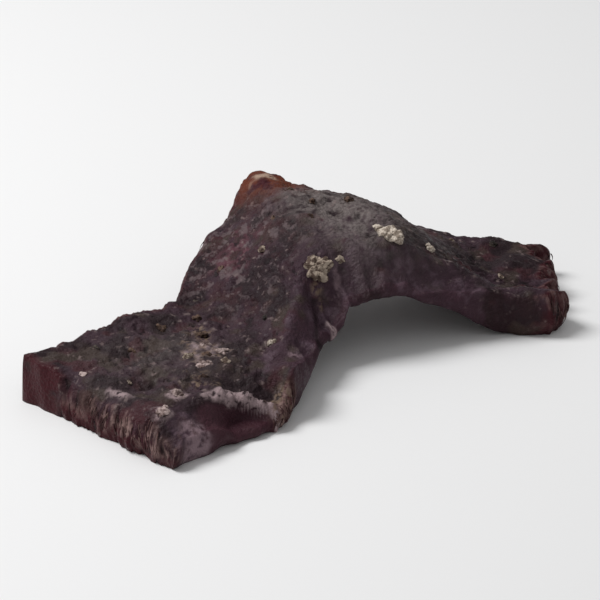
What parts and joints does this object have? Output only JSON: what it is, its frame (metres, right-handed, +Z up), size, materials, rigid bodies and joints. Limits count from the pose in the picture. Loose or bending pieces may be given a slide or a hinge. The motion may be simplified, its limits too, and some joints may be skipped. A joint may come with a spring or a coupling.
{
  "type": "beef jerky strip",
  "caption": "Dried beef strip: a leathery slice, flat at its cut end, arched in the middle and torn at the far end, with spice crumbs on top.",
  "frame": {"origin": "centre of the footprint's bounding box, at the height of the surface that the strip lies on", "axes": "+X along the strip from its cut end to its torn end, +Y towards the outer corner of the bend, +Z up"},
  "size_m": [0.086, 0.0496, 0.0169],
  "materials": {
    "dried_beef": "dark plum-grey dried meat with a low leathery sheen",
    "spice": "matte tan and brown spice crumbs"
  },
  "bodies": {
    "root": {"jerky_strip": "dried_beef"}
  },
  "joints": []
}
